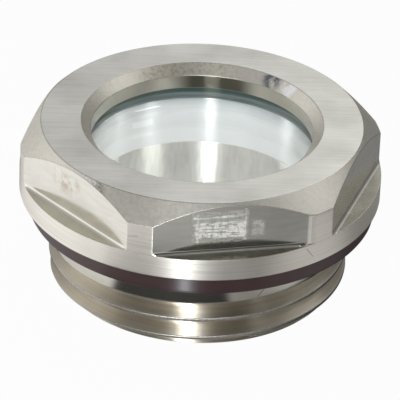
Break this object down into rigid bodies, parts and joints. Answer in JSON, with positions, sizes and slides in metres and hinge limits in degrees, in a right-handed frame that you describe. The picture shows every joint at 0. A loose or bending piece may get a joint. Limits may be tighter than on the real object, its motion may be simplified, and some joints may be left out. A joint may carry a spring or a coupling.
{
  "type": "liquid level indicator",
  "caption": "Screw-in liquid level indicator: hexagonal steel head with a round glass window, a dark red sealing ring and a parallel pipe thread, open below to the liquid.",
  "frame": {"origin": "on the axis, in the plane of the thread's end face, which the part stands on", "axes": "+Z along the axis towards the viewing face; two of the six flats face -Y and +Y"},
  "size_m": [0.04, 0.04, 0.0193],
  "materials": {
    "stainless_housing": "turned and milled stainless steel, brushed",
    "stainless_ring": "fine turned stainless steel",
    "fluoro_rubber": "dark red brown moulded rubber",
    "window_glass": "clear polished glass with a green edge",
    "white_plastic": "smooth turned white plastic"
  },
  "bodies": {
    "root": {"housing": "stainless_housing", "flange_seal": "fluoro_rubber", "glass_seal": "fluoro_rubber", "sight_glass": "window_glass", "white_sleeve": "white_plastic", "retaining_ring": "stainless_ring"}
  },
  "joints": []
}
